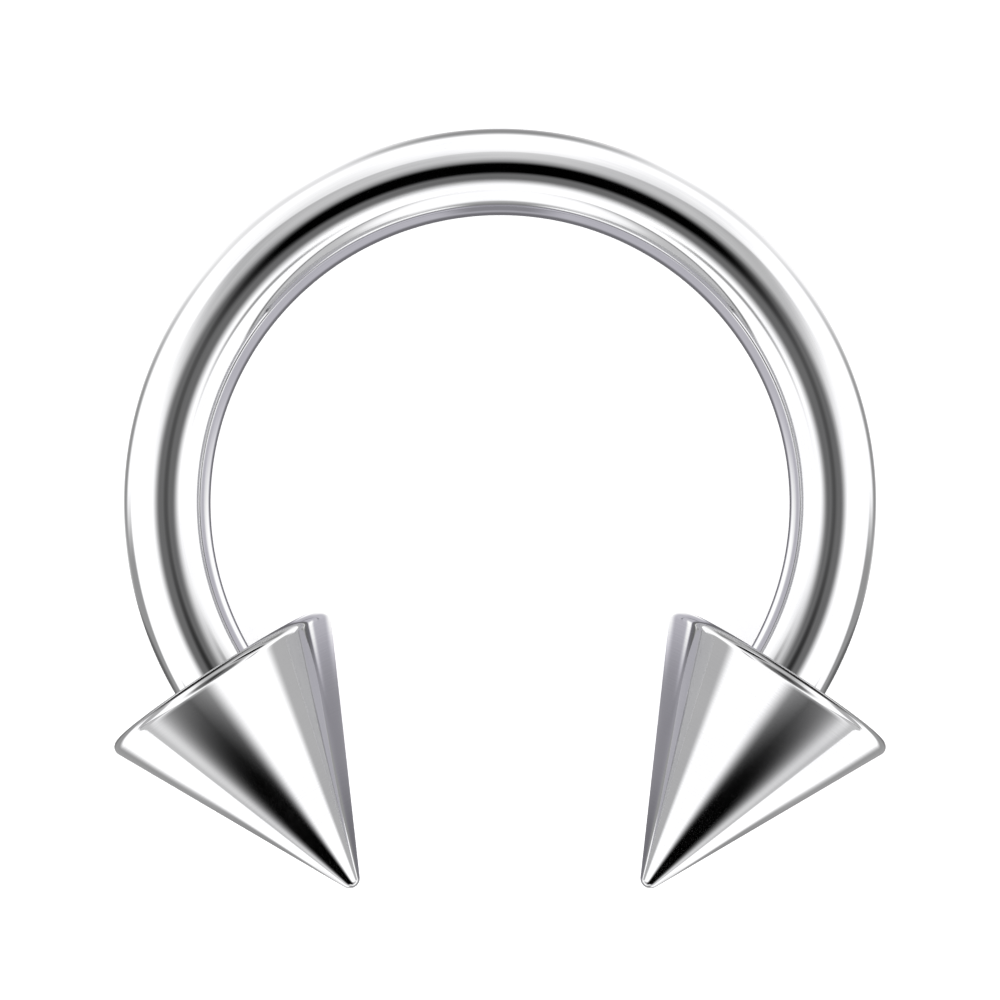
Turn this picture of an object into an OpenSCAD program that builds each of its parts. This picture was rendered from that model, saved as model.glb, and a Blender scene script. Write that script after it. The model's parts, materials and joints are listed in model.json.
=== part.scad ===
// Horseshoe barbell: an open ring of round wire with a screw-on cone spike at each end.
// It lies on its side, touching the table with the back of the wire and with both cone rims.
// The two cones point towards -Y. Millimetres.

/* [Wire] */
// Diameter of the wire
wire_d = 1.2; // [1:0.1:2]
// Clear width across the inside of the ring
inner_d = 8; // [7:0.5:14]
// How far each end of the arc comes down past the ring's widest line, in degrees
end_drop = 31.8; // [20:0.5:40]
// Inward lean of each cone beyond the direction of the arc at its end, in degrees
toe_in = 1.3; // [0:0.1:3]
// How far the middle of each cone lies inside the wire's centre line
seat_inset = 0.035; // [0:0.005:0.08]

/* [Posts] */
// How deep the thread is cut into the wire, at its mean diameter
thread_depth = 0.1; // [0.06:0.01:0.15]
// Length of each post past the end of the wire
post_l = 1.6; // [1:0.1:1.8]
// Lead-in chamfer at the tip of each post
post_lead = 0.12; // [0.05:0.01:0.2]
// How deep each post is rooted in the wire
post_root = 0.3; // [0.1:0.1:0.5]

/* [Cones] */
// Diameter of a cone across its base
cone_d = 3.5; // [2.8:0.1:5]
// Length of a cone from base to tip
cone_l = 3.46; // [3:0.02:6]
// Radius of the rounded rim round the base
rim_r = 0.11; // [0.05:0.01:0.3]
// Radius of the blunted tip
tip_r = 0.14; // [0.05:0.005:0.3]
// Angle of the drill point at the bottom of the bore, in degrees
drill_point = 118; // [90:1:140]

/* [Fits] */
// Gap between a post and its bore, all round
bore_clearance = 0.03; // [0.02:0.01:0.08]
// Room left past the tip of the post in its bore
bore_room = 0.1; // [0.05:0.05:0.3]
// Gap between the end of the wire and the base of a cone
seat_gap = 0.02; // [0.01:0.01:0.05]

/* [Hidden] */
$fn = 128;
steel = [0.78, 0.78, 0.8];

wire_r = wire_d / 2;
ring_r = (inner_d + wire_d) / 2;
seat_r = ring_r - seat_inset;
// angle between a cone's axis and the ring's line of symmetry
cone_lean = end_drop + toe_in;
// the arc runs on past the seat by this angle before it is cut square to the cone
arc_over = 6;

post_r = wire_r - thread_depth;
bore_r = post_r + bore_clearance;
bore_l = post_l - seat_gap + bore_room;
bore_tip = bore_r / tan(drill_point / 2);
cut_over = 0.1;

// Profile of a cone: centres of the rim and tip rounds, radius first, then height above the base
rim_c = [cone_d / 2 - rim_r, rim_r];
tip_c = [0, cone_l - tip_r];
slant = (tip_c - rim_c) / norm(tip_c - rim_c);
slant_s = (rim_r - tip_r) / norm(tip_c - rim_c);
// outward normal of the straight side, which touches both rounds
slant_n = slant_s * slant + sqrt(1 - slant_s * slant_s) * [slant[1], -slant[0]];
slant_a = atan2(slant_n[1], slant_n[0]);
// the straight side lies this far under both rounds, so that each crosses it and ends on it cleanly
side_sink = 0.0003;
// how far each round runs on past the side, in degrees
slice_over = 15;

// Lying on the table: sine of the tilt at which the wire's back and both rims touch it
function rest_step(s) =
    (rim_c[0] * sqrt(1 - pow(cos(cone_lean) * s, 2)) + rim_r - wire_r)
    / (ring_r + seat_r * sin(end_drop) + rim_r * cos(cone_lean));
function rest_sine(s, steps) = steps == 0 ? s : rest_sine(rest_step(s), steps - 1);
rest_tilt = asin(rest_sine(0, 12));
rest_z = ring_r * sin(rest_tilt) + wire_r;
// furthest reach of the wire's back and of the tips along Y, seen from the ring's centre
back_y = ring_r * cos(rest_tilt) + wire_r;
tip_y = -(seat_r * sin(end_drop) + tip_c[1] * cos(cone_lean)) * cos(rest_tilt) - tip_r;

// From the ring's own plane, with the ring's centre as its origin, to the table
module lying() {
    translate([0, -(back_y + tip_y) / 2, rest_z])
        rotate([-rest_tilt, 0, 0])
            children();
}

// Middle of the left cone's base, with +Z towards its tip
module at_left_seat() {
    translate([-seat_r * cos(end_drop), -seat_r * sin(end_drop), 0])
        rotate([90, 0, cone_lean])
            children();
}

// The arc of wire on the left half, with its end cut square to the cone
module half_arc() {
    difference() {
        rotate([0, 0, 90])
            rotate_extrude(angle = 90 + end_drop + arc_over)
                translate([ring_r, 0])
                    circle(d = wire_d);
        at_left_seat()
            translate([-wire_d, -wire_d, -seat_gap])
                cube([2 * wire_d, 2 * wire_d, ring_r]);
    }
}

// Plain round post in place of the thread, from inside the wire to its chamfered tip
module post() {
    at_left_seat()
        rotate_extrude()
            polygon([
                [0, -seat_gap - post_root],
                [post_r, -seat_gap - post_root],
                [post_r, post_l - seat_gap - post_lead],
                [post_r - post_lead, post_l - seat_gap],
                [0, post_l - seat_gap]
            ]);
}

module half_ring() {
    half_arc();
    post();
}

// Slice of a disc between two directions in degrees, less than half a turn apart
module slice(centre, radius, first, last) {
    reach = 3 * radius;
    intersection() {
        translate(centre)
            circle(r = radius);
        polygon([
            centre,
            centre + reach * [cos(first), sin(first)],
            centre + reach * [cos((first + last) / 2), sin((first + last) / 2)],
            centre + reach * [cos(last), sin(last)]
        ]);
    }
}

module cone_profile() {
    polygon([
        [0, 0],
        [rim_c[0], 0],
        rim_c,
        rim_c + (rim_r - side_sink) * slant_n,
        tip_c + (tip_r - side_sink) * slant_n,
        tip_c
    ]);
    slice(rim_c, rim_r, -90, slant_a + slice_over);
    slice(tip_c, tip_r, slant_a - slice_over, 90);
}

// Solid cone on its base, drilled for the post
module cone() {
    difference() {
        rotate_extrude()
            cone_profile();
        rotate_extrude()
            polygon([
                [0, -cut_over],
                [bore_r, -cut_over],
                [bore_r, bore_l],
                [0, bore_l + bore_tip]
            ]);
    }
}

module wire_ring() {
    color(steel)
        lying() {
            half_ring();
            mirror([1, 0, 0])
                half_ring();
        }
}

module cone_left() {
    color(steel)
        lying()
            at_left_seat()
                cone();
}

module cone_right() {
    color(steel)
        lying()
            mirror([1, 0, 0])
                at_left_seat()
                    cone();
}

wire_ring();
cone_left();
cone_right();
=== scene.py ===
"""Looks of a horseshoe barbell: an open ring of polished steel wire with a screw-on cone spike at each end.

Sizes are in millimetres until a mesh is placed. The ring is modelled flat round its own centre and
then laid on the table, where it touches with the back of the wire and with both cone rims.
"""

import json
import logging
from dataclasses import dataclass, field
from enum import Enum, IntEnum
from math import atan2, cos, degrees, floor, hypot, pi, radians, sin, sqrt, tan

import bmesh
import bpy
from mathutils import Matrix, Vector

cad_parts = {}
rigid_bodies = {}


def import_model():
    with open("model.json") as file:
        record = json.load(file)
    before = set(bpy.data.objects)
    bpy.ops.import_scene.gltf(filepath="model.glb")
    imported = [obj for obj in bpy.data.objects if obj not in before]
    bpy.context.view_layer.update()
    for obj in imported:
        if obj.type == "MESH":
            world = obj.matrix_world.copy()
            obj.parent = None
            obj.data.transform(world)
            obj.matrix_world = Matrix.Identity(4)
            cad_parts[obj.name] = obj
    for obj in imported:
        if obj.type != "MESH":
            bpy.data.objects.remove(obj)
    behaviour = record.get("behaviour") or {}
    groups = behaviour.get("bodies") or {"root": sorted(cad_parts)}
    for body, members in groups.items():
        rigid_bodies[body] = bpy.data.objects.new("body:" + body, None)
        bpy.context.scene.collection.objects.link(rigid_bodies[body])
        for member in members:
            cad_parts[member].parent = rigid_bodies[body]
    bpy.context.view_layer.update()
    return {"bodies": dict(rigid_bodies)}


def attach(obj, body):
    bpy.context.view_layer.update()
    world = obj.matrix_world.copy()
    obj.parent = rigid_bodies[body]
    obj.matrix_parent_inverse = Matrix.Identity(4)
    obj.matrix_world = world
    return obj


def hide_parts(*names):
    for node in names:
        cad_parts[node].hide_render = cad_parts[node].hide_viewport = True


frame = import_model()

LOG = logging.getLogger("barbell")
MM = 0.001
LAY = "lay"

# How close counts as together, in millimetres: WELD joins the copies of a thread and the halves of
# the ring, TOUCH the ends of a full turn, and SLICE is for what lies in a cut or on an axis.
WELD = 1e-4
TOUCH = 1e-5
SLICE = 1e-6

Tree = bpy.types.NodeTree
Node = bpy.types.Node
Socket = bpy.types.NodeSocket

MATH = "ShaderNodeMath"
VECTOR = "ShaderNodeVectorMath"
RAMP = "ShaderNodeMapRange"
MIX = "ShaderNodeMix"
SMOOTH = {"interpolation_type": "SMOOTHSTEP"}
NUMBER = {"data_type": "FLOAT"}
COLOUR = {"data_type": "RGBA"}


class Side(Enum):
    """The two ends of the ring, with the sign of their X."""

    LEFT = -1
    RIGHT = 1

    @property
    def word(self) -> str:
        """The side's name in lower case."""
        return self.name.lower()


class Surface(IntEnum):
    """The finishes of a piece, by the place of their materials."""

    POLISHED = 0
    MACHINED = 1


def linear(code: str) -> tuple[float, float, float, float]:
    """Turns an sRGB hex colour to linear light.

    Args:
        code: six hex digits, such as "dcdcdd".

    Returns:
        Red, green, blue and an alpha of 1.
    """
    parts = [int(code[i : i + 2], 16) / 255 for i in (0, 2, 4)]
    light = [p / 12.92 if p <= 0.04045 else ((p + 0.055) / 1.055) ** 2.4 for p in parts]
    return (light[0], light[1], light[2], 1.0)


WHITE = linear("ffffff")


def add(tree: Tree, kind: str, settings: dict | None = None, **inputs) -> Node:
    """Adds a node with its settings and links.

    Args:
        tree: the node tree that takes it.
        kind: the node's type.
        settings: properties of the node by name.
        inputs: socket values or links by name, or by place as i0, i1 and so on; a socket is
            linked, and a node by its first output.

    Returns:
        The new node.
    """
    node = tree.nodes.new(kind)
    for name, value in (settings or {}).items():
        setattr(node, name, value)
    for name, value in inputs.items():
        place = int(name[1:]) if name[0] == "i" and name[1:].isdigit() else name.replace("_", " ")
        socket = node.inputs[place]
        if isinstance(value, Node):
            value = value.outputs[0]
        if isinstance(value, Socket):
            tree.links.new(value, socket)
        else:
            socket.default_value = value
    return node


@dataclass(frozen=True)
class Thread:
    """A 60 degree screw thread with flattened crests and roots."""

    pitch: float = 0.25
    major_r: float = 0.57
    minor_r: float = 0.43
    crest_share: float = 0.14
    root_share: float = 0.22
    steps: int = 72
    cuts: int = 3

    def outline(self, grow: float) -> list[Vector]:
        """Points of one pitch from root to root.

        Args:
            grow: how much wider than the screw, for the thread inside a bore.

        Returns:
            Points with the radius in X and the height in Z.
        """
        flank = (1 - self.crest_share - self.root_share) / 2
        shares = [0, self.root_share / 2, self.root_share / 2 + flank]
        shares += [1 - s for s in reversed(shares)]
        low, high = self.minor_r + grow, self.major_r + grow
        radii = [low, low, high, high, low, low]
        ends = list(zip(shares, radii))
        points = []
        for (s0, r0), (s1, r1) in zip(ends, ends[1:]):
            for k in range(self.cuts):
                t = k / self.cuts
                points.append(Vector((r0 + (r1 - r0) * t, 0, self.pitch * (s0 + (s1 - s0) * t))))
        points.append(Vector((low, 0, self.pitch)))
        return points

    def tube(self, bm: bmesh.types.BMesh, bottom: float, top: float, grow: float) -> None:
        """Winds a right-hand thread into a tube that is cut square at both ends.

        Every tube starts on a whole number of pitches, so that a screw and its bore are in step.

        Args:
            bm: the mesh that takes it.
            bottom: height of the lower end.
            top: height of the upper end.
            grow: how much wider than the screw.
        """
        turns = int((top - bottom) / self.pitch) + 4
        start = (floor(bottom / self.pitch) - 1) * self.pitch
        line = [bm.verts.new(p + Vector((0, 0, start))) for p in self.outline(grow)]
        edges = [bm.edges.new(pair) for pair in zip(line, line[1:])]
        bmesh.ops.spin(
            bm,
            geom=line + edges,
            cent=(0, 0, 0),
            axis=(0, 0, 1),
            dvec=(0, 0, self.pitch / self.steps),
            angle=2 * pi,
            steps=self.steps,
            use_merge=False,
        )
        one = bm.verts[:] + bm.edges[:] + bm.faces[:]
        for k in range(1, turns):
            again = bmesh.ops.duplicate(bm, geom=one)["geom"]
            moved = [v for v in again if isinstance(v, bmesh.types.BMVert)]
            bmesh.ops.translate(bm, verts=moved, vec=(0, 0, k * self.pitch))
        bmesh.ops.remove_doubles(bm, verts=bm.verts[:], dist=WELD)
        for height, way in ((bottom, -1), (top, 1)):
            bmesh.ops.bisect_plane(
                bm,
                geom=bm.verts[:] + bm.edges[:] + bm.faces[:],
                dist=SLICE,
                plane_co=(0, 0, height),
                plane_no=(0, 0, way),
                clear_outer=True,
            )


def open_loop(bm: bmesh.types.BMesh, height: float) -> list[bmesh.types.BMEdge]:
    """The open edges that lie at one height.

    Args:
        bm: the mesh.
        height: the height in Z.

    Returns:
        The edges with one face, both of whose ends are at that height.
    """
    return [
        e for e in bm.edges if len(e.link_faces) == 1 and all(abs(v.co.z - height) < TOUCH for v in e.verts)
    ]


def turn(bm: bmesh.types.BMesh, points: list[tuple[float, float]], steps: int) -> None:
    """Turns a chain of points once round the Z axis.

    Args:
        bm: the mesh that takes the surface.
        points: radius and height of each point.
        steps: how many flats go round.
    """
    line = [bm.verts.new((r, 0, z)) for r, z in points]
    edges = [bm.edges.new(pair) for pair in zip(line, line[1:])]
    bmesh.ops.spin(
        bm, geom=line + edges, cent=(0, 0, 0), axis=(0, 0, 1), angle=2 * pi, steps=steps, use_merge=True
    )
    bmesh.ops.remove_doubles(bm, verts=bm.verts[:], dist=TOUCH)


@dataclass
class Shape:
    """Sizes that the ring and the cones share, and how the whole lies on the table."""

    wire_d: float = 1.2
    inner_d: float = 8.0
    end_drop: float = 31.8
    toe_in: float = 1.3
    seat_inset: float = 0.035
    cone_d: float = 3.5
    cone_l: float = 3.46
    rim_r: float = 0.11
    tip_r: float = 0.14
    seat_gap: float = 0.02
    rest_steps: int = 12
    ring_r: float = field(init=False)
    seat_r: float = field(init=False)
    lean: float = field(init=False)
    tilt: float = field(init=False)
    centre: Vector = field(init=False)

    def __post_init__(self) -> None:
        """Works out the pose in which the wire's back and both rims touch the table."""
        self.ring_r = (self.inner_d + self.wire_d) / 2
        self.seat_r = self.ring_r - self.seat_inset
        self.lean = radians(self.end_drop + self.toe_in)
        drop = self.seat_r * sin(radians(self.end_drop))
        rim_x = self.cone_d / 2 - self.rim_r
        sine = 0.0
        for _ in range(self.rest_steps):
            lift = rim_x * sqrt(1 - (cos(self.lean) * sine) ** 2) + self.rim_r - self.wire_d / 2
            sine = lift / (self.ring_r + drop + self.rim_r * cos(self.lean))
        self.tilt = atan2(sine, sqrt(1 - sine * sine))
        back = self.ring_r * cos(self.tilt) + self.wire_d / 2
        reach = drop + (self.cone_l - self.tip_r) * cos(self.lean)
        front = -reach * cos(self.tilt) - self.tip_r
        self.centre = Vector((0, -(back + front) / 2, self.ring_r * sine + self.wire_d / 2))

    def lying(self) -> Matrix:
        """From the ring's own plane to the table, in metres."""
        return Matrix.Scale(MM, 4) @ Matrix.Translation(self.centre) @ Matrix.Rotation(-self.tilt, 4, "X")

    def at_seat(self, side: Side) -> Matrix:
        """From a cone's own axes, with Z towards its tip, to the ring's plane.

        Args:
            side: which end of the ring.

        Returns:
            The transform, without mirroring.
        """
        drop = radians(self.end_drop)
        seat = Vector((side.value * self.seat_r * cos(drop), -self.seat_r * sin(drop), 0))
        return (
            Matrix.Translation(seat)
            @ Matrix.Rotation(-side.value * self.lean, 4, "Z")
            @ Matrix.Rotation(pi / 2, 4, "X")
        )


def finish_piece(
    bm: bmesh.types.BMesh, name: str, place: Matrix, finishes: list[bpy.types.Material], sharp: float = 32
) -> bpy.types.Object:
    """Places a finished mesh and makes it an object at the origin.

    Args:
        bm: the mesh, in millimetres; it is freed.
        name: the piece's name.
        place: from the mesh's axes to the table, in metres.
        finishes: the materials, in the order of the faces' numbers.
        sharp: edges above this angle in degrees stay sharp.

    Returns:
        The new object.
    """
    for face in bm.faces:
        face.smooth = True
    bm.transform(place)
    mesh = bpy.data.meshes.new(name)
    bm.to_mesh(mesh)
    bm.free()
    mesh.set_sharp_from_angle(angle=radians(sharp))
    for finish in finishes:
        mesh.materials.append(finish)
    obj = bpy.data.objects.new(name, mesh)
    bpy.context.scene.collection.objects.link(obj)
    LOG.info("%s: %d vertices, %d faces", name, len(mesh.vertices), len(mesh.polygons))
    return obj


def wrap_close(angle: float, near: float) -> float:
    """The same angle, less than half a turn from another one.

    Args:
        angle: in radians.
        near: the other angle, in radians.

    Returns:
        The angle, moved by whole turns.
    """
    while angle - near > pi:
        angle -= 2 * pi
    while angle - near < -pi:
        angle += 2 * pi
    return angle


@dataclass
class WireRing:
    """The bent wire and the threaded post on each of its ends."""

    shape: Shape
    thread: Thread
    section_steps: int = 96
    arc_steps: int = 156
    arc_over: float = 5.0
    post_l: float = 1.6
    post_tip_r: float = 0.38
    relief_l: float = 0.1
    end_chamfer: float = 0.035
    edge_from_r: float = 0.55
    end_within_r: float = 0.7

    def half_arc(self, bm: bmesh.types.BMesh) -> None:
        """The left half of the wire, cut square to the cone's axis.

        Args:
            bm: an empty mesh that takes it.
        """
        s = self.shape
        ring = Matrix.Translation((0, s.ring_r, 0)) @ Matrix.Rotation(pi / 2, 4, "Y")
        made = bmesh.ops.create_circle(bm, segments=self.section_steps, radius=s.wire_d / 2, matrix=ring)
        bmesh.ops.spin(
            bm,
            geom=made["verts"] + bm.edges[:],
            cent=(0, 0, 0),
            axis=(0, 0, 1),
            angle=radians(90 + s.end_drop + self.arc_over),
            steps=self.arc_steps,
            use_merge=False,
        )
        seat = s.at_seat(Side.LEFT)
        bmesh.ops.bisect_plane(
            bm,
            geom=bm.verts[:] + bm.edges[:] + bm.faces[:],
            dist=SLICE,
            plane_co=seat @ Vector((0, 0, -s.seat_gap)),
            plane_no=seat.to_3x3() @ Vector((0, 0, 1)),
            clear_outer=True,
        )

    def add_post(self, bm: bmesh.types.BMesh, side: Side) -> None:
        """Closes one end of the wire with its chamfered shoulder and threaded post.

        Args:
            bm: the arc, in the ring's plane.
            side: which end.
        """
        s = self.shape
        seat = s.at_seat(side)
        bm.transform(seat.inverted())
        tip = self.post_l - s.seat_gap
        rod = bmesh.new()
        self.thread.tube(rod, -s.seat_gap, tip, 0.0)
        for v in rod.verts:
            r = hypot(v.co.x, v.co.y)
            limit = self.post_tip_r + (tip - v.co.z)
            relief = v.co.z + s.seat_gap
            if relief < self.relief_l:
                limit = self.thread.minor_r
            if r > limit:
                v.co.x *= limit / r
                v.co.y *= limit / r
        bmesh.ops.holes_fill(rod, edges=open_loop(rod, tip), sides=0)
        self.join(bm, rod)
        shoulder = open_loop(bm, -s.seat_gap)
        bmesh.ops.bridge_loops(bm, edges=shoulder)
        corner = [
            e
            for e in bm.edges
            if all(
                abs(v.co.z + s.seat_gap) < TOUCH and hypot(v.co.x, v.co.y) > self.edge_from_r for v in e.verts
            )
        ]
        bmesh.ops.bevel(
            bm,
            geom=corner,
            offset=self.end_chamfer,
            offset_type="OFFSET",
            affect="EDGES",
            segments=2,
            profile=0.5,
            material=-1,
        )
        bm.transform(seat)

    @staticmethod
    def join(bm: bmesh.types.BMesh, part: bmesh.types.BMesh) -> None:
        """Adds a second mesh to the first and frees it.

        Args:
            bm: the mesh that grows.
            part: the mesh that is added.
        """
        carrier = bpy.data.meshes.new("carrier")
        part.to_mesh(carrier)
        part.free()
        bm.from_mesh(carrier)
        bpy.data.meshes.remove(carrier)

    def unwrap(self, bm: bmesh.types.BMesh) -> None:
        """Lays the map along the wire in U and round it in V, in millimetres.

        Args:
            bm: the whole ring in its own plane.
        """
        s = self.shape
        layer = bm.loops.layers.uv.new(LAY)
        for face in bm.faces:
            near = None
            for loop in face.loops:
                x, y, z = loop.vert.co
                along = atan2(x, y)
                around = atan2(z, hypot(x, y) - s.ring_r)
                near = around if near is None else near
                around = wrap_close(around, near)
                loop[layer].uv = (along * s.ring_r, around * s.wire_d / 2)

    def build(self, finishes: list[bpy.types.Material]) -> bpy.types.Object:
        """Models the whole ring.

        Args:
            finishes: polished steel, then machined steel.

        Returns:
            The ring, which stands for the CAD's.
        """
        bm = bmesh.new()
        self.half_arc(bm)
        bmesh.ops.mirror(bm, geom=bm.verts[:] + bm.edges[:] + bm.faces[:], axis="X", merge_dist=WELD)
        bmesh.ops.remove_doubles(bm, verts=bm.verts[:], dist=TOUCH)
        for side in Side:
            self.add_post(bm, side)
        bmesh.ops.recalc_face_normals(bm, faces=bm.faces[:])
        self.unwrap(bm)
        self.mark_machined(bm)
        ring = finish_piece(bm, "ring_of_wire", self.shape.lying(), finishes)
        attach(ring, "ring")
        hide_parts("wire_ring")
        return ring

    def mark_machined(self, bm: bmesh.types.BMesh) -> None:
        """Gives the posts and the shoulders the machined finish.

        Args:
            bm: the whole ring in its own plane.
        """
        s = self.shape
        seats = [s.at_seat(side).inverted() for side in Side]
        lowest = -s.seat_gap - self.end_chamfer * 0.5
        for face in bm.faces:
            spot = face.calc_center_median()
            for seat in seats:
                local = seat @ spot
                if local.z > lowest and hypot(local.x, local.y) < self.end_within_r:
                    face.material_index = Surface.MACHINED


@dataclass
class ConeSpikes:
    """The two solid turned cones, tapped from their bases for the posts."""

    shape: Shape
    thread: Thread
    steps: int = 192
    bore_l: float = 1.68
    tapped_l: float = 1.5
    drill_point: float = 118.0
    clearance: float = 0.03
    mouth_r: float = 0.68
    edge: float = 0.03
    base_rings: tuple[float, ...] = (0.9, 1.15, 1.4)
    rim_steps: int = 16
    side_steps: int = 20
    side_ends: tuple[float, ...] = (0.01, 0.03)
    tip_steps: int = 12
    base_below: float = 0.002

    def drill_r(self) -> float:
        """Radius of the hole that is drilled before the thread is cut."""
        return self.thread.minor_r + self.clearance

    def drill_tip(self) -> float:
        """Height of the point that the drill leaves."""
        return self.bore_l + self.drill_r() / tan(radians(self.drill_point / 2))

    def side_line(self) -> list[tuple[float, float]]:
        """The turned outline, from the mouth of the bore over base, rim and side to the tip.

        Returns:
            Radius and height of each point.
        """
        s = self.shape
        rim = Vector((s.cone_d / 2 - s.rim_r, s.rim_r))
        tip = Vector((0, s.cone_l - s.tip_r))
        way = (tip - rim).normalized()
        lean = (s.rim_r - s.tip_r) / (tip - rim).length
        out = lean * way + sqrt(1 - lean * lean) * Vector((way.y, -way.x))
        slope = atan2(out.y, out.x)
        points = [(r, 0.0) for r in (self.mouth_r + self.edge, *self.base_rings, rim.x - self.edge)]
        for k in range(self.rim_steps + 1):
            a = -pi / 2 + (slope + pi / 2) * k / self.rim_steps
            points.append((rim.x + s.rim_r * cos(a), rim.y + s.rim_r * sin(a)))
        start, end = rim + s.rim_r * out, tip + s.tip_r * out
        shares = [k / self.side_steps for k in range(1, self.side_steps)]
        for share in (*self.side_ends, *shares, *(1 - e for e in reversed(self.side_ends))):
            spot = start + (end - start) * share
            points.append((spot.x, spot.y))
        for k in range(self.tip_steps + 1):
            a = slope + (pi / 2 - slope) * k / self.tip_steps
            points.append((s.tip_r * cos(a) if k < self.tip_steps else 0.0, tip.y + s.tip_r * sin(a)))
        return points

    def bore(self, bm: bmesh.types.BMesh) -> None:
        """The tapped hole, from its countersunk mouth to the drill point.

        Args:
            bm: the cone's outside, open at the mouth.
        """
        hole = bmesh.new()
        self.thread.tube(hole, 0.0, self.bore_l, self.clearance)
        for v in hole.verts:
            r = hypot(v.co.x, v.co.y)
            want = max(r, self.mouth_r - v.co.z)
            if v.co.z > self.tapped_l:
                want = self.drill_r()
            v.co.x *= want / r
            v.co.y *= want / r
        end = bmesh.ops.holes_fill(hole, edges=open_loop(hole, self.bore_l), sides=0)
        poked = bmesh.ops.poke(hole, faces=end["faces"])
        for v in poked["verts"]:
            v.co = (0, 0, self.drill_tip())
        WireRing.join(bm, hole)
        bmesh.ops.bridge_loops(bm, edges=open_loop(bm, 0.0))

    def unwrap(self, bm: bmesh.types.BMesh) -> None:
        """Lays the map round the axis in U and along the turned outline in V, in millimetres.

        Args:
            bm: the cone on its own axis.
        """
        s = self.shape
        layer = bm.loops.layers.uv.new(LAY)
        for face in bm.faces:
            spot = face.calc_center_median()
            near = atan2(spot.y, spot.x)
            for loop in face.loops:
                x, y, z = loop.vert.co
                r = hypot(x, y)
                around = near if r < SLICE else wrap_close(atan2(y, x), near)
                loop[layer].uv = (around * s.cone_d / 2, z + (s.cone_d / 2 - r))

    def model(self) -> bmesh.types.BMesh:
        """Models the cone on its own axis.

        Returns:
            The mesh, in millimetres.
        """
        bm = bmesh.new()
        turn(bm, self.side_line(), self.steps)
        self.bore(bm)
        bmesh.ops.recalc_face_normals(bm, faces=bm.faces[:])
        self.unwrap(bm)
        for face in bm.faces:
            spot = face.calc_center_median()
            inside = hypot(spot.x, spot.y) < self.mouth_r + self.edge and spot.z < self.drill_tip()
            machined = inside or spot.z < self.base_below
            face.material_index = Surface.MACHINED if machined else Surface.POLISHED
        return bm

    def build(self, finishes: list[bpy.types.Material]) -> list[bpy.types.Object]:
        """Puts a cone on each end of the ring.

        Args:
            finishes: polished steel, then machined steel.

        Returns:
            The cones, which stand for the CAD's.
        """
        s = self.shape
        model = self.model()
        cones = []
        for side in Side:
            place = s.lying() @ s.at_seat(side)
            cone = finish_piece(model.copy(), f"{side.word}_cone_spike", place, finishes)
            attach(cone, f"{side.word}_end")
            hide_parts(f"cone_{side.word}")
            cones.append(cone)
        model.free()
        return cones


@dataclass(frozen=True)
class Steel:
    """Stainless steel, by how its surface was made.

    The marks of the last polishing or cutting run along the map's U, which is along the wire and
    round the axis of a turned part. Lengths are in millimetres.
    """

    name: str
    colour: str
    haze_colour: str
    roughness: float
    haze_roughness: float
    anisotropy: float
    mark_width: float
    mark_depth: float
    mark_length: float = 0.0
    wave_length: float = 1.2
    wave_depth: float = 0.0

    def build(self) -> bpy.types.Material:
        """Makes the material.

        Returns:
            The material.
        """
        material = bpy.data.materials.new(self.name)
        material.use_nodes = True
        tree = material.node_tree
        tree.nodes.clear()
        along = 1 / self.mark_length if self.mark_length else 0.0
        lay = add(tree, "ShaderNodeUVMap", {"uv_map": LAY})
        drawn_out = add(
            tree, "ShaderNodeMapping", Vector=lay.outputs["UV"], Scale=(along, 1 / self.mark_width, 1)
        )
        marks = add(tree, "ShaderNodeTexNoise", Vector=drawn_out.outputs["Vector"], Scale=1.0, Detail=3.0)
        place = add(tree, "ShaderNodeTexCoord")
        haze = add(
            tree,
            "ShaderNodeTexNoise",
            Vector=place.outputs["Object"],
            Scale=1 / (self.wave_length * MM),
            Detail=2.0,
        )
        worn = add(tree, MATH, {"operation": "MULTIPLY"}, i0=marks, i1=haze)
        share = add(tree, RAMP, SMOOTH, Value=worn, From_Min=0.15, From_Max=0.4)
        rough = add(tree, RAMP, Value=share, To_Min=self.roughness, To_Max=self.haze_roughness)
        colour = add(tree, MIX, COLOUR, i0=share, i6=linear(self.colour), i7=linear(self.haze_colour))
        waves = add(
            tree,
            "ShaderNodeBump",
            Height=haze.outputs["Fac"],
            Strength=1.0,
            Distance=self.wave_depth * MM,
        )
        relief = add(
            tree,
            "ShaderNodeBump",
            Height=marks.outputs["Fac"],
            Strength=1.0,
            Distance=self.mark_depth * MM,
            Normal=waves.outputs["Normal"],
        )
        direction = add(tree, "ShaderNodeTangent", {"direction_type": "UV_MAP", "uv_map": LAY})
        shader = add(
            tree,
            "ShaderNodeBsdfPrincipled",
            Base_Color=colour.outputs[2],
            Metallic=1.0,
            Roughness=rough.outputs["Result"],
            Normal=relief.outputs["Normal"],
            Anisotropic=self.anisotropy,
            Anisotropic_Rotation=0.25,
            Tangent=direction.outputs["Tangent"],
        )
        add(tree, "ShaderNodeOutputMaterial", Surface=shader.outputs["BSDF"])
        return material


# 316L wire, drawn, bent and buffed to a mirror: black and white lie side by side with a hard edge,
# and hairlines along the wire soften that edge a little. Real hairlines are 2 to 5 microns wide,
# too fine to show, so they are drawn 25 microns wide.
WIRE_STEEL = Steel(
    name="mirror-polished stainless steel wire",
    colour="dededf",
    haze_colour="d8d8da",
    roughness=0.045,
    haze_roughness=0.075,
    anisotropy=0.35,
    mark_width=0.025,
    mark_depth=0.00003,
    mark_length=1.8,
    wave_depth=0.0003,
)

# The same steel turned to a cone and buffed as it spins: the same mirror, with hairlines that run
# right round the axis and draw each reflection out towards the tip. Drawn 30 microns wide to show.
CONE_STEEL = Steel(
    name="mirror-polished turned stainless steel",
    colour="dededf",
    haze_colour="d8d8da",
    roughness=0.045,
    haze_roughness=0.08,
    anisotropy=0.35,
    mark_width=0.03,
    mark_depth=0.00003,
    wave_depth=0.0003,
)

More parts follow.
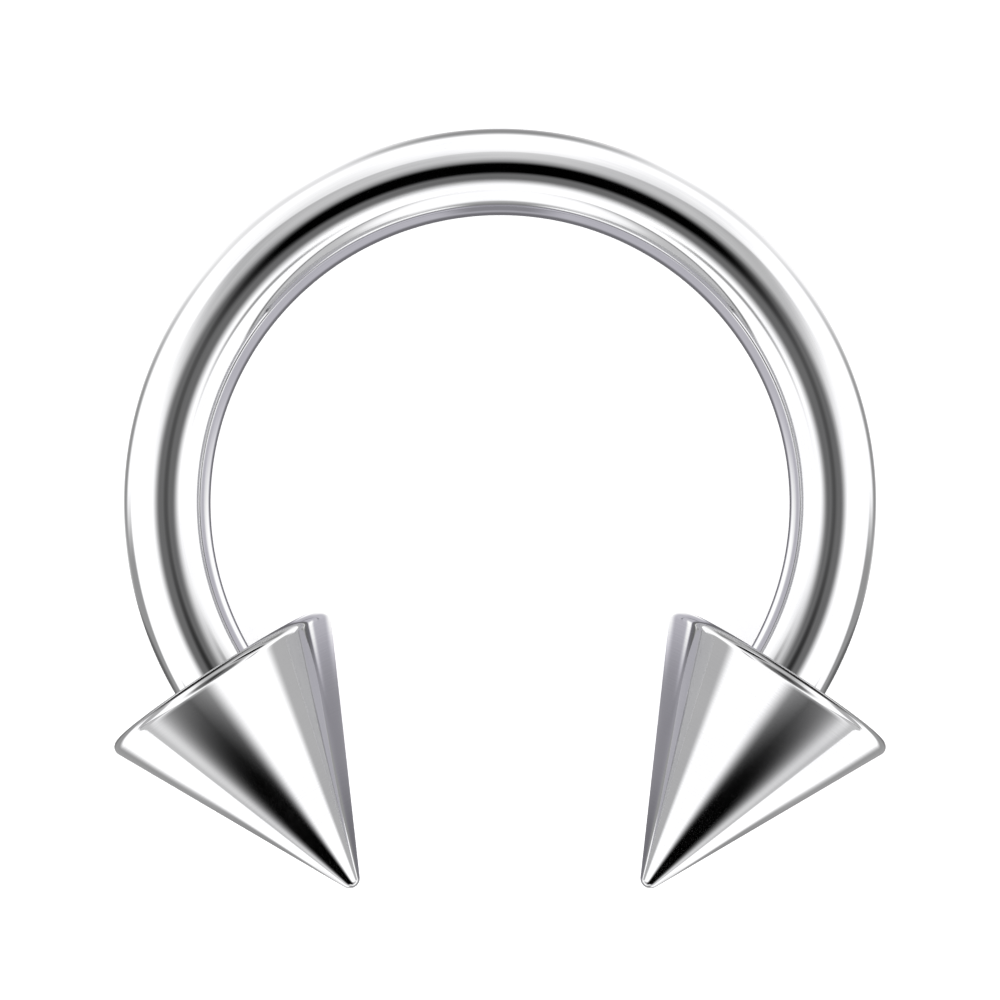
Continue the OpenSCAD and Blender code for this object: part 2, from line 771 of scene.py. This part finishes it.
# Steel as the lathe and the tap leave it, on the screws, the shoulders, the bases and the bores:
# a dull silver with fine grooves. Grooves at a feed of 20 microns are drawn 40 microns apart.
MACHINED_STEEL = Steel(
    name="machined stainless steel",
    colour="d2d2d3",
    haze_colour="c2c2c4",
    roughness=0.2,
    haze_roughness=0.34,
    anisotropy=0.5,
    mark_width=0.04,
    mark_depth=0.0006,
)


@dataclass(frozen=True)
class Oval:
    """An oval on a map, by its middle, its half axes and its turn in degrees."""

    centre: tuple[float, float]
    reach: tuple[float, float]
    turn: float = 0.0

    def away(self, tree: Tree, spot: Socket) -> Socket:
        """How far a place is from the middle of the oval, with 1 at its edge.

        Args:
            tree: the node tree.
            spot: the place, as a vector.

        Returns:
            The distance.
        """
        local = add(
            tree,
            "ShaderNodeMapping",
            {"vector_type": "TEXTURE"},
            Vector=spot,
            Location=(*self.centre, 0),
            Rotation=(0, 0, radians(self.turn)),
            Scale=(*self.reach, 1),
        )
        return add(tree, VECTOR, {"operation": "LENGTH"}, i0=local).outputs["Value"]


@dataclass(frozen=True)
class Patch(Oval):
    """A soft-edged oval of another brightness on a wall of light."""

    light: float = field(kw_only=True)
    soft: float = field(kw_only=True)
    share: float = field(default=1.0, kw_only=True)

    def paint(self, tree: Tree, spot: Socket, under: float | Socket) -> Socket:
        """Lays the patch over what is there.

        Args:
            tree: the node tree.
            spot: the place, as a vector.
            under: the brightness under the patch.

        Returns:
            The brightness.
        """
        share = add(
            tree,
            RAMP,
            SMOOTH,
            Value=self.away(tree, spot),
            From_Min=1 - self.soft,
            From_Max=1 + self.soft,
            To_Min=self.share,
            To_Max=0.0,
        )
        return add(tree, MIX, NUMBER, i0=share, i2=under, i3=self.light).outputs[0]


# Painted shade on the board that stands in for the table in reflections, by place in millimetres:
# across from the middle line, and from the ring's middle towards its back. Both halves of the
# table are alike.
BESIDE_THE_CONES = (
    Patch((6.3, -3.3), (5.2, 2.3), 25, light=0.4, soft=0.35),
    Patch((3.9, -6.0), (1.6, 1.3), -30, light=0.43, soft=0.5),
)
INSIDE_THE_RING = (
    Patch((0, -1.2), (1.4, 2.4), light=0.72, soft=0.3),
    Patch((0, 2.2), (4.4, 2.4), light=0.67, soft=0.35),
    Patch((0, -3.4), (4.6, 1.6), light=0.43, soft=0.5),
    Patch((0, -4.1), (3.0, 1.6), light=0.31, soft=0.6, share=0.7),
    Patch((3.5, -5.9), (1.1, 0.8), -35, light=0.34, soft=0.6, share=0.8),
    Patch((0, -5.0), (3.8, 0.9), light=0.21, soft=0.7, share=0.8),
)
ROUND_THE_RING = (
    Patch((5.2, -2.5), (1.5, 0.8), -33, light=0.15, soft=0.5),
    Patch((0, 5.75), (2.6, 0.62), light=0.36, soft=0.8),
    Patch((4.0, 5.0), (1.8, 0.75), -45, light=1.05, soft=0.7),
    Patch((6.25, 0.7), (0.75, 2.9), 15, light=0.37, soft=0.7),
)
# The part of the table glow whose painted shade is tinted: between the cones and inside the ring.
TINTED = Oval((0, -1.0), (4.4, 5.4))

# Shades in the sky, in degrees from the direction that the flat of the ring mirrors to the camera.
# The last is the lens itself, in the middle of the dark round the camera.
SKY_SHADES = (
    Patch((21, 30), (42, 19), 53, light=0.53, soft=0.7, share=0.95),
    Patch((0, 28), (26, 19), light=0.78, soft=0.6, share=0.8),
    Patch((0, -10), (29, 29), light=0.19, soft=0.345),
    Patch((0, -1), (5.5, 6), light=0.0, soft=0.8, share=0.45),
)

# The arch, its opening and what stands in it, in degrees of bearing and height.
ARCH = Patch((0, 0), (62, 41), light=0.72, soft=0.03)
ARCH_OPENING = Patch((0, 22), (30, 19), light=1.4, soft=0.3)
ARCH_FOOT = Patch((0, 0), (14, 8), light=0.5, soft=0.5)


def fold(tree: Tree, spot: Node | Socket) -> tuple[Socket, Socket, Socket]:
    """Mirrors a place from left to right, so that both halves of a wall are alike.

    Args:
        tree: the node tree.
        spot: the place, as a vector.

    Returns:
        The folded place, its distance from the middle line, and its height.
    """
    parts = add(tree, "ShaderNodeSeparateXYZ", i0=spot)
    across = add(tree, MATH, {"operation": "ABSOLUTE"}, i0=parts.outputs["X"])
    place = add(tree, "ShaderNodeCombineXYZ", X=across, Y=parts.outputs["Y"])
    return place.outputs[0], across.outputs[0], parts.outputs["Y"]


def mirrored_twice(tree: Tree, first: float = 1.0) -> Socket:
    """Tells light that the steel has mirrored more than once, which the studio keeps even and calm.

    Args:
        tree: the node tree of a light.
        first: the ray depth that the first reflection has there.

    Returns:
        0 for the first reflection, 1 for the second and all later ones.
    """
    path = add(tree, "ShaderNodeLightPath")
    later = add(tree, RAMP, SMOOTH, Value=path.outputs["Ray Depth"], From_Min=first, From_Max=first + 1)
    return later.outputs[0]


class SeenBy(Enum):
    """What a board of the studio shows in."""

    PICTURE = "picture"
    REFLECTIONS = "reflections"

    def limit(self, board: bpy.types.Object) -> None:
        """Hides a board from all else.

        Args:
            board: the board.
        """
        board.visible_camera = self is SeenBy.PICTURE
        board.visible_glossy = self is SeenBy.REFLECTIONS
        board.visible_diffuse = False
        board.visible_shadow = False


@dataclass(frozen=True)
class Card:
    """A soft-edged card of the studio, which only reflections show.

    It is dark to every piece but those in bright_to, which see it as bright as its glow: nothing,
    or the white of the studio. It faces along way, at a distance from the middle, in millimetres.
    It is whole up to the first number of clear and gone past the second, as shares of its oval.
    """

    name: str
    middle: tuple[float, float, float]
    way: tuple[float, float, float]
    oval: Oval
    clear: tuple[float, float]
    distance: float = 0.0
    share: float = 1.0
    fade: float = 1.0
    glow: float = 0.0
    bright_to: tuple[str, ...] = ("ring_of_wire",)

    def radius(self) -> float:
        """Radius of the board that holds the whole oval, in millimetres."""
        return max(self.oval.reach) * self.clear[1] + hypot(*self.oval.centre)

    def place(self) -> Matrix:
        """From the board's own axes, with Z along way, to the studio, in metres.

        Returns:
            The transform.
        """
        way = Vector(self.way).normalized()
        sideways = abs(way.x) > 0.1
        right = Vector((0, 0, 1)).cross(way).normalized() if sideways else Vector((1, 0, 0))
        spot = Vector(self.middle) + way * self.distance
        return Matrix.Translation(spot * MM) @ Matrix((right, way.cross(right), way)).transposed().to_4x4()


@dataclass
class Studio:
    """Camera, pale floor, white light from all round, and the shades and cards that the steel mirrors.

    Lengths are in millimetres, but in metres for the floor and the backdrop. Brightness is 1 at
    the white of the picture.
    """

    shape: Shape
    lens: float = 200.0
    sensor: float = 36.0
    clip: tuple[float, float] = (0.002, 10.0)
    camera_lean: float = 5.02
    frame_width: float = 13.815
    picture_pixels: int = 1000
    aim_off: tuple[float, float] = (-0.075, 1.965)
    floor_r: float = 1.5
    backdrop_r: float = 1.4
    backdrop_h: float = 4.0
    board_steps: int = 128
    paper: str = "f2f2f3"
    paper_glow: float = 0.5
    white: float = 1.45
    calm: float = 0.8
    shade_tint: str = "f7f5ff"
    wedge_light: float = 0.67
    trace_r: float = 4.12
    trace_light: float = 0.21
    strip_light: float = 0.34
    arch_edge_light: float = 0.22
    overhead_lean: float = 10.04

    def camera(self) -> None:
        """A long lens almost square above the ring's plane, a little nearer to the tips' side."""
        s = self.shape
        data = bpy.data.cameras.new("camera")
        data.lens = self.lens
        data.sensor_width = self.sensor
        data.clip_start, data.clip_end = self.clip
        lean = s.tilt - radians(self.camera_lean)
        back = Vector((0, sin(lean), cos(lean)))
        right = Vector((1, 0, 0))
        up = back.cross(right)
        distance = self.frame_width * self.lens / data.sensor_width
        pixel = self.frame_width / self.picture_pixels
        spot = s.centre + back * distance + (right * self.aim_off[0] + up * self.aim_off[1]) * pixel
        turned = Matrix((right, up, back)).transposed().to_4x4()
        camera = bpy.data.objects.new("camera", data)
        camera.matrix_world = Matrix.Translation(spot * MM) @ turned
        bpy.context.scene.collection.objects.link(camera)
        bpy.context.scene.camera = camera

    @staticmethod
    def blank(name: str) -> bpy.types.Material:
        """A material with an empty node tree.

        Args:
            name: its name.

        Returns:
            The material.
        """
        material = bpy.data.materials.new(name)
        material.use_nodes = True
        material.node_tree.nodes.clear()
        return material

    @staticmethod
    def stand(name: str, bm: bmesh.types.BMesh, material: bpy.types.Material) -> bpy.types.Object:
        """Args:
            name: the object's name.
            bm: the mesh, in metres; it is freed.
            material: its surface.

        Returns:
            The object.
        """
        mesh = bpy.data.meshes.new(name)
        bm.to_mesh(mesh)
        bm.free()
        mesh.materials.append(material)
        obj = bpy.data.objects.new(name, mesh)
        bpy.context.scene.collection.objects.link(obj)
        return obj

    def board(self, name: str, radius: float, material: bpy.types.Material) -> bpy.types.Object:
        """A flat round board, on the floor until it is moved.

        Args:
            name: its name.
            radius: in metres.
            material: its surface.

        Returns:
            The board.
        """
        bm = bmesh.new()
        bmesh.ops.create_circle(bm, cap_ends=True, segments=self.board_steps, radius=radius)
        return self.stand(name, bm, material)

    def floor(self) -> None:
        """A matt white floor, and a white wall round it that only the picture shows."""
        material = self.blank("matt white board")
        shader = add(
            material.node_tree,
            "ShaderNodeBsdfPrincipled",
            Base_Color=linear(self.paper),
            Roughness=0.8,
            Emission_Color=WHITE,
            Emission_Strength=self.paper_glow,
        )
        add(material.node_tree, "ShaderNodeOutputMaterial", Surface=shader)
        floor_board = self.board("floor", self.floor_r, material)
        floor_board.visible_glossy = False
        paper = self.blank("white backdrop paper")
        glow = add(paper.node_tree, "ShaderNodeEmission", Color=WHITE, Strength=1.0)
        add(paper.node_tree, "ShaderNodeOutputMaterial", Surface=glow)
        bm = bmesh.new()
        bmesh.ops.create_cone(
            bm,
            cap_ends=False,
            segments=self.board_steps,
            radius1=self.backdrop_r,
            radius2=self.backdrop_r,
            depth=self.backdrop_h,
        )
        SeenBy.PICTURE.limit(self.stand("backdrop", bm, paper))

    @staticmethod
    def wedge(tree: Tree, slope: Node, ahead: Node, far: Socket) -> Node:
        """The shade that fans out from between the cones.

        Args:
            tree: the node tree.
            slope: how far across a place is, as a share of how far along.
            ahead: how far it is from the ring's middle towards the tips.
            far: how far it is from the ring's middle.

        Returns:
            How much of the shade lies there.
        """
        narrow = add(tree, RAMP, SMOOTH, Value=slope, From_Min=0.36, From_Max=0.56, To_Min=1.0, To_Max=0.0)
        past_cones = add(tree, RAMP, SMOOTH, Value=ahead, From_Min=3.5, From_Max=5.0)
        near = add(tree, RAMP, SMOOTH, Value=far, From_Min=9.0, From_Max=13.0, To_Min=1.0, To_Max=0.0)
        inside = add(tree, MATH, {"operation": "MULTIPLY"}, i0=narrow, i1=past_cones)
        return add(tree, MATH, {"operation": "MULTIPLY"}, i0=inside, i1=near)

    def trace(self, tree: Tree, y: Socket, far: Socket) -> Node:
        """The shade right under the wire, which ends before the cones.

        Args:
            tree: the node tree.
            y: how far a place is from the ring's middle towards its back.
            far: how far it is from the ring's middle.

        Returns:
            How much of the shade lies there.
        """
        off = add(tree, MATH, {"operation": "SUBTRACT"}, i0=far, i1=self.trace_r)
        beside = add(tree, MATH, {"operation": "ABSOLUTE"}, i0=off)
        under = add(tree, RAMP, SMOOTH, Value=beside, From_Min=0.7, From_Max=1.36, To_Min=1.0, To_Max=0.0)
        behind_cones = add(tree, RAMP, SMOOTH, Value=y, From_Min=-3.2, From_Max=-1.6)
        return add(tree, MATH, {"operation": "MULTIPLY"}, i0=under, i1=behind_cones)

    @staticmethod
    def strip(tree: Tree, slope: Node, y: Socket, ahead: Node) -> Node:
        """The narrow shade along the middle line, with a gap in it before the ring's middle.

        Args:
            tree: the node tree.
            slope: how far across a place is, as a share of how far along.
            y: how far it is from the ring's middle towards its back.
            ahead: the same towards the tips.

        Returns:
            How much of the shade lies there.
        """
        before_gap = add(tree, RAMP, SMOOTH, Value=ahead, From_Min=0.9, From_Max=1.6, To_Min=1.0, To_Max=0.0)
        past_gap = add(tree, RAMP, SMOOTH, Value=ahead, From_Min=4.8, From_Max=5.6)
        outside_gap = add(tree, MATH, {"operation": "MAXIMUM"}, i0=before_gap, i1=past_gap)
        narrow = add(tree, RAMP, SMOOTH, Value=slope, From_Min=0.08, From_Max=0.24, To_Min=1.0, To_Max=0.0)
        inside = add(tree, RAMP, SMOOTH, Value=y, From_Min=2.4, From_Max=3.2, To_Min=1.0, To_Max=0.0)
        both = add(tree, MATH, {"operation": "MULTIPLY"}, i0=narrow, i1=inside)
        return add(tree, MATH, {"operation": "MULTIPLY"}, i0=both, i1=outside_gap)

    def table_glow(self) -> None:
        """The table as the steel sees it: white round about, painted shade under the ring and the cones."""
        material = self.blank("table glow")
        tree = material.node_tree
        coords = add(tree, "ShaderNodeTexCoord")
        spot = add(tree, VECTOR, {"operation": "SCALE"}, i0=coords.outputs["Object"], Scale=1 / MM)
        middle = (0, round(self.shape.centre.y, 2), 0)
        moved = add(tree, VECTOR, {"operation": "SUBTRACT"}, i0=spot, i1=middle)
        place, across, y = fold(tree, moved)
        ahead = add(tree, MATH, {"operation": "MULTIPLY"}, i0=y, i1=-1.0)
        far = add(tree, VECTOR, {"operation": "LENGTH"}, i0=place).outputs["Value"]
        along = add(tree, MATH, {"operation": "ABSOLUTE"}, i0=y)
        over_nought = add(tree, MATH, {"operation": "MAXIMUM"}, i0=along, i1=0.001)
        slope = add(tree, MATH, {"operation": "DIVIDE"}, i0=across, i1=over_nought)
        # Painted shade, laid patch by patch over the white of the glowing board.
        light = self.white
        for patch in BESIDE_THE_CONES:
            light = patch.paint(tree, place, light)
        wedge = self.wedge(tree, slope, ahead, far)
        light = add(tree, MIX, NUMBER, i0=wedge, i2=light, i3=self.wedge_light)
        for patch in INSIDE_THE_RING:
            light = patch.paint(tree, place, light)
        trace = self.trace(tree, y, far)
        light = add(tree, MIX, NUMBER, i0=trace, i2=light, i3=self.trace_light)
        for patch in ROUND_THE_RING:
            light = patch.paint(tree, place, light)
        strip = self.strip(tree, slope, y, ahead)
        light = add(tree, MIX, NUMBER, i0=strip, i2=light, i3=self.strip_light)
        light = add(tree, MIX, NUMBER, i0=mirrored_twice(tree), i2=light, i3=self.calm)
        lit = add(tree, RAMP, SMOOTH, Value=light, From_Min=0.6, From_Max=1.2)
        outside = add(tree, RAMP, SMOOTH, Value=TINTED.away(tree, place), From_Min=0.8, From_Max=1.05)
        untinted = add(tree, MATH, {"operation": "MAXIMUM"}, i0=lit, i1=outside)
        tint = add(tree, MIX, COLOUR, i0=untinted, i6=linear(self.shade_tint), i7=WHITE)
        glow = add(tree, "ShaderNodeEmission", Color=tint.outputs[2], Strength=light)
        add(tree, "ShaderNodeOutputMaterial", Surface=glow)
        SeenBy.REFLECTIONS.limit(self.board("table_glow", self.floor_r, material))

    def sky(self) -> None:
        """White light from all round, with soft darker patches.

        The patches lie on a map of degrees round the direction that the flat of the ring mirrors
        to the camera: the camera itself is ten degrees below the middle.
        """
        world = bpy.data.worlds.new("studio")
        bpy.context.scene.world = world
        world.use_nodes = True
        tree = world.node_tree
        tree.nodes.clear()
        coords = add(tree, "ShaderNodeTexCoord")
        way = add(
            tree,
            "ShaderNodeVectorRotate",
            {"rotation_type": "X_AXIS"},
            Vector=coords.outputs["Generated"],
            Angle=self.shape.tilt + radians(self.camera_lean),
        )
        parts = add(tree, "ShaderNodeSeparateXYZ", i0=way)
        flat = add(tree, "ShaderNodeCombineXYZ", X=parts.outputs["X"], Y=parts.outputs["Y"])
        length = add(tree, VECTOR, {"operation": "LENGTH"}, i0=flat)
        turned = add(tree, MATH, {"operation": "ARCCOSINE"}, i0=parts.outputs["Z"])
        angle = add(tree, MATH, {"operation": "DEGREES"}, i0=turned)
        stretch = add(tree, MATH, {"operation": "DIVIDE"}, i0=angle, i1=length.outputs["Value"])
        spread = add(tree, VECTOR, {"operation": "SCALE"}, i0=flat, Scale=stretch)
        place = fold(tree, spread)[0]
        light = self.white
        for patch in SKY_SHADES:
            light = patch.paint(tree, place, light)
        light = self.arch(tree, coords.outputs["Generated"], light)
        light = add(tree, MIX, NUMBER, i0=mirrored_twice(tree, 2.0), i2=light, i3=self.calm)
        shader = add(tree, "ShaderNodeBackground", Color=WHITE, Strength=light)
        add(tree, "ShaderNodeOutputWorld", Surface=shader)

    def arch(self, tree: Tree, way: Socket, light: Socket) -> Socket:
        """A pale grey arch with a white opening, on the tips' side.

        The inner side of the ring mirrors its edge as a thin line, which fades towards the top.
        It lies on a map of degrees across and up, with its middle on the horizon.

        Args:
            tree: the world's node tree.
            way: the direction.
            light: the brightness behind it.

        Returns:
            The brightness.
        """
        parts = add(tree, "ShaderNodeSeparateXYZ", i0=way)
        across = add(tree, MATH, {"operation": "ABSOLUTE"}, i0=parts.outputs["X"])
        ahead = add(tree, MATH, {"operation": "MULTIPLY"}, i0=parts.outputs["Y"], i1=-1.0)
        turned = add(tree, MATH, {"operation": "ARCTAN2"}, i0=across, i1=ahead)
        bearing = add(tree, MATH, {"operation": "DEGREES"}, i0=turned)
        raised = add(tree, MATH, {"operation": "ARCSINE"}, i0=parts.outputs["Z"])
        height = add(tree, MATH, {"operation": "DEGREES"}, i0=raised)
        place = add(tree, "ShaderNodeCombineXYZ", X=bearing, Y=height).outputs[0]
        light = ARCH.paint(tree, place, light)
        off = add(tree, MATH, {"operation": "SUBTRACT"}, i0=ARCH.away(tree, place), i1=1.0)
        beside = add(tree, MATH, {"operation": "ABSOLUTE"}, i0=off)
        line = add(tree, RAMP, SMOOTH, Value=beside, From_Min=0.0, From_Max=0.06, To_Min=1.0, To_Max=0.0)
        fade = add(tree, RAMP, SMOOTH, Value=bearing, From_Min=5, From_Max=40, To_Min=0.2, To_Max=1.0)
        edge = add(tree, MATH, {"operation": "MULTIPLY"}, i0=line, i1=fade)
        light = add(tree, MIX, NUMBER, i0=edge, i2=light, i3=self.arch_edge_light).outputs[0]
        light = ARCH_OPENING.paint(tree, place, light)
        return ARCH_FOOT.paint(tree, place, light)

    def hang(self, card: Card) -> None:
        """Hangs a card.

        Args:
            card: the card.
        """
        # The card is a painted reflection: a dark patch that only reflections show, as bright as its glow to
        # the pieces in bright_to.
        material = self.blank("velvet on " + card.name)
        tree = material.node_tree
        coords = add(tree, "ShaderNodeTexCoord")
        spot = add(tree, VECTOR, {"operation": "SCALE"}, i0=coords.outputs["Object"], Scale=1 / MM)
        away = card.oval.away(tree, fold(tree, spot)[0])
        start, end = card.clear
        open_share = add(tree, RAMP, SMOOTH, Value=away, From_Min=start, From_Max=end)
        faded = add(tree, MATH, {"operation": "POWER"}, i0=open_share, i1=card.fade)
        gone = add(tree, MATH, {"operation": "MULTIPLY"}, i0=faded, i1=-card.share)
        share = add(tree, MATH, {"operation": "ADD"}, i0=gone, i1=card.share)
        share = add(tree, MIX, NUMBER, i0=mirrored_twice(tree), i2=share, i3=0.0)
        dark = add(tree, "ShaderNodeEmission", Color=WHITE, Strength=card.glow)
        clear = add(tree, "ShaderNodeBsdfTransparent")
        mixed = add(tree, "ShaderNodeMixShader", i0=share, i1=clear, i2=dark)
        add(tree, "ShaderNodeOutputMaterial", Surface=mixed)
        board = self.board(card.name, card.radius() * MM, material)
        board.matrix_world = card.place()
        SeenBy.REFLECTIONS.limit(board)
        lit = bpy.data.collections.new("sees the glow of " + card.name)
        for name in card.bright_to:
            lit.objects.link(bpy.data.objects[name])
        board.light_linking.receiver_collection = lit

    def cards_above(self) -> list[Card]:
        """The cards on the middle line: in front, overhead, over the wire's two arms, and behind.

        Returns:
            The cards.
        """
        lean = radians(self.overhead_lean)
        overhead = (0, sin(lean), cos(lean))
        centre = tuple(self.shape.centre)
        return [
            Card(
                "front_card",
                middle=(0, -4, 2),
                way=(0, -0.74, 0.67),
                distance=18,
                oval=Oval((2.3, -1.8), (13.5, 6.8), -40.5),
                clear=(0.25, 1.15),
                fade=1.5,
                glow=self.white,
            ),
            Card(
                "overhead_card",
                middle=centre,
                way=overhead,
                distance=10,
                oval=Oval((0, 4.9), (4.6, 2.4)),
                clear=(0.72, 1.35),
            ),
            Card(
                "arms_card",
                middle=centre,
                way=overhead,
                distance=9,
                oval=Oval((4.3, -2.9), (1.2, 2.4)),
                clear=(0.3, 1.4),
                share=0.7,
            ),
            Card(
                "back_card",
                middle=(0, 20, 9.8),
                way=(0, 0.616, -0.788),
                oval=Oval((0, 4), (24, 16)),
                clear=(0.4, 1.5),
                share=0.62,
                glow=self.white,
            ),
        ]

    def cards_beside(self, side: Side) -> list[Card]:
        """A card far out to one side, and a slope up from the floor that one cone's rim mirrors.

        Args:
            side: which side.

        Returns:
            The cards.
        """
        x = side.value
        return [
            Card(
                f"{side.word}_card",
                middle=(0, -4, 5.5),
                way=(x, 0, 0),
                distance=40,
                oval=Oval((0, 0), (16, 14.5)),
                clear=(0.7, 1.3),
                share=0.6,
                glow=self.white,
            ),
            Card(
                f"{side.word}_rim_card",
                middle=(13.2 * x, 7.0, 4.5),
                way=(0.375 * x, 0.375, -0.848),
                oval=Oval((0, -3), (6.5, 13)),
                clear=(0.4, 1.5),
                share=0.97,
                glow=self.white,
                bright_to=("ring_of_wire", f"{Side(-x).word}_cone_spike"),
            ),
        ]

    def build(self) -> None:
        """Sets up everything round the object."""
        self.camera()
        self.floor()
        self.table_glow()
        self.sky()
        cards = self.cards_above()
        for side in Side:
            cards += self.cards_beside(side)
        for card in cards:
            self.hang(card)
        bpy.context.scene.view_settings.view_transform = "Standard"


def main() -> None:
    """Builds the barbell round the frame, then the studio."""
    logging.basicConfig(level=logging.INFO, format="%(message)s")
    LOG.info("bodies: %s", ", ".join(frame["bodies"]))
    shape = Shape()
    thread = Thread()
    machined = MACHINED_STEEL.build()
    WireRing(shape, thread).build([WIRE_STEEL.build(), machined])
    ConeSpikes(shape, thread).build([CONE_STEEL.build(), machined])
    Studio(shape).build()
    LOG.info("tilt %.4f degrees, centre %s", degrees(shape.tilt), tuple(round(c, 4) for c in shape.centre))


if __name__ == "__main__":
    main()
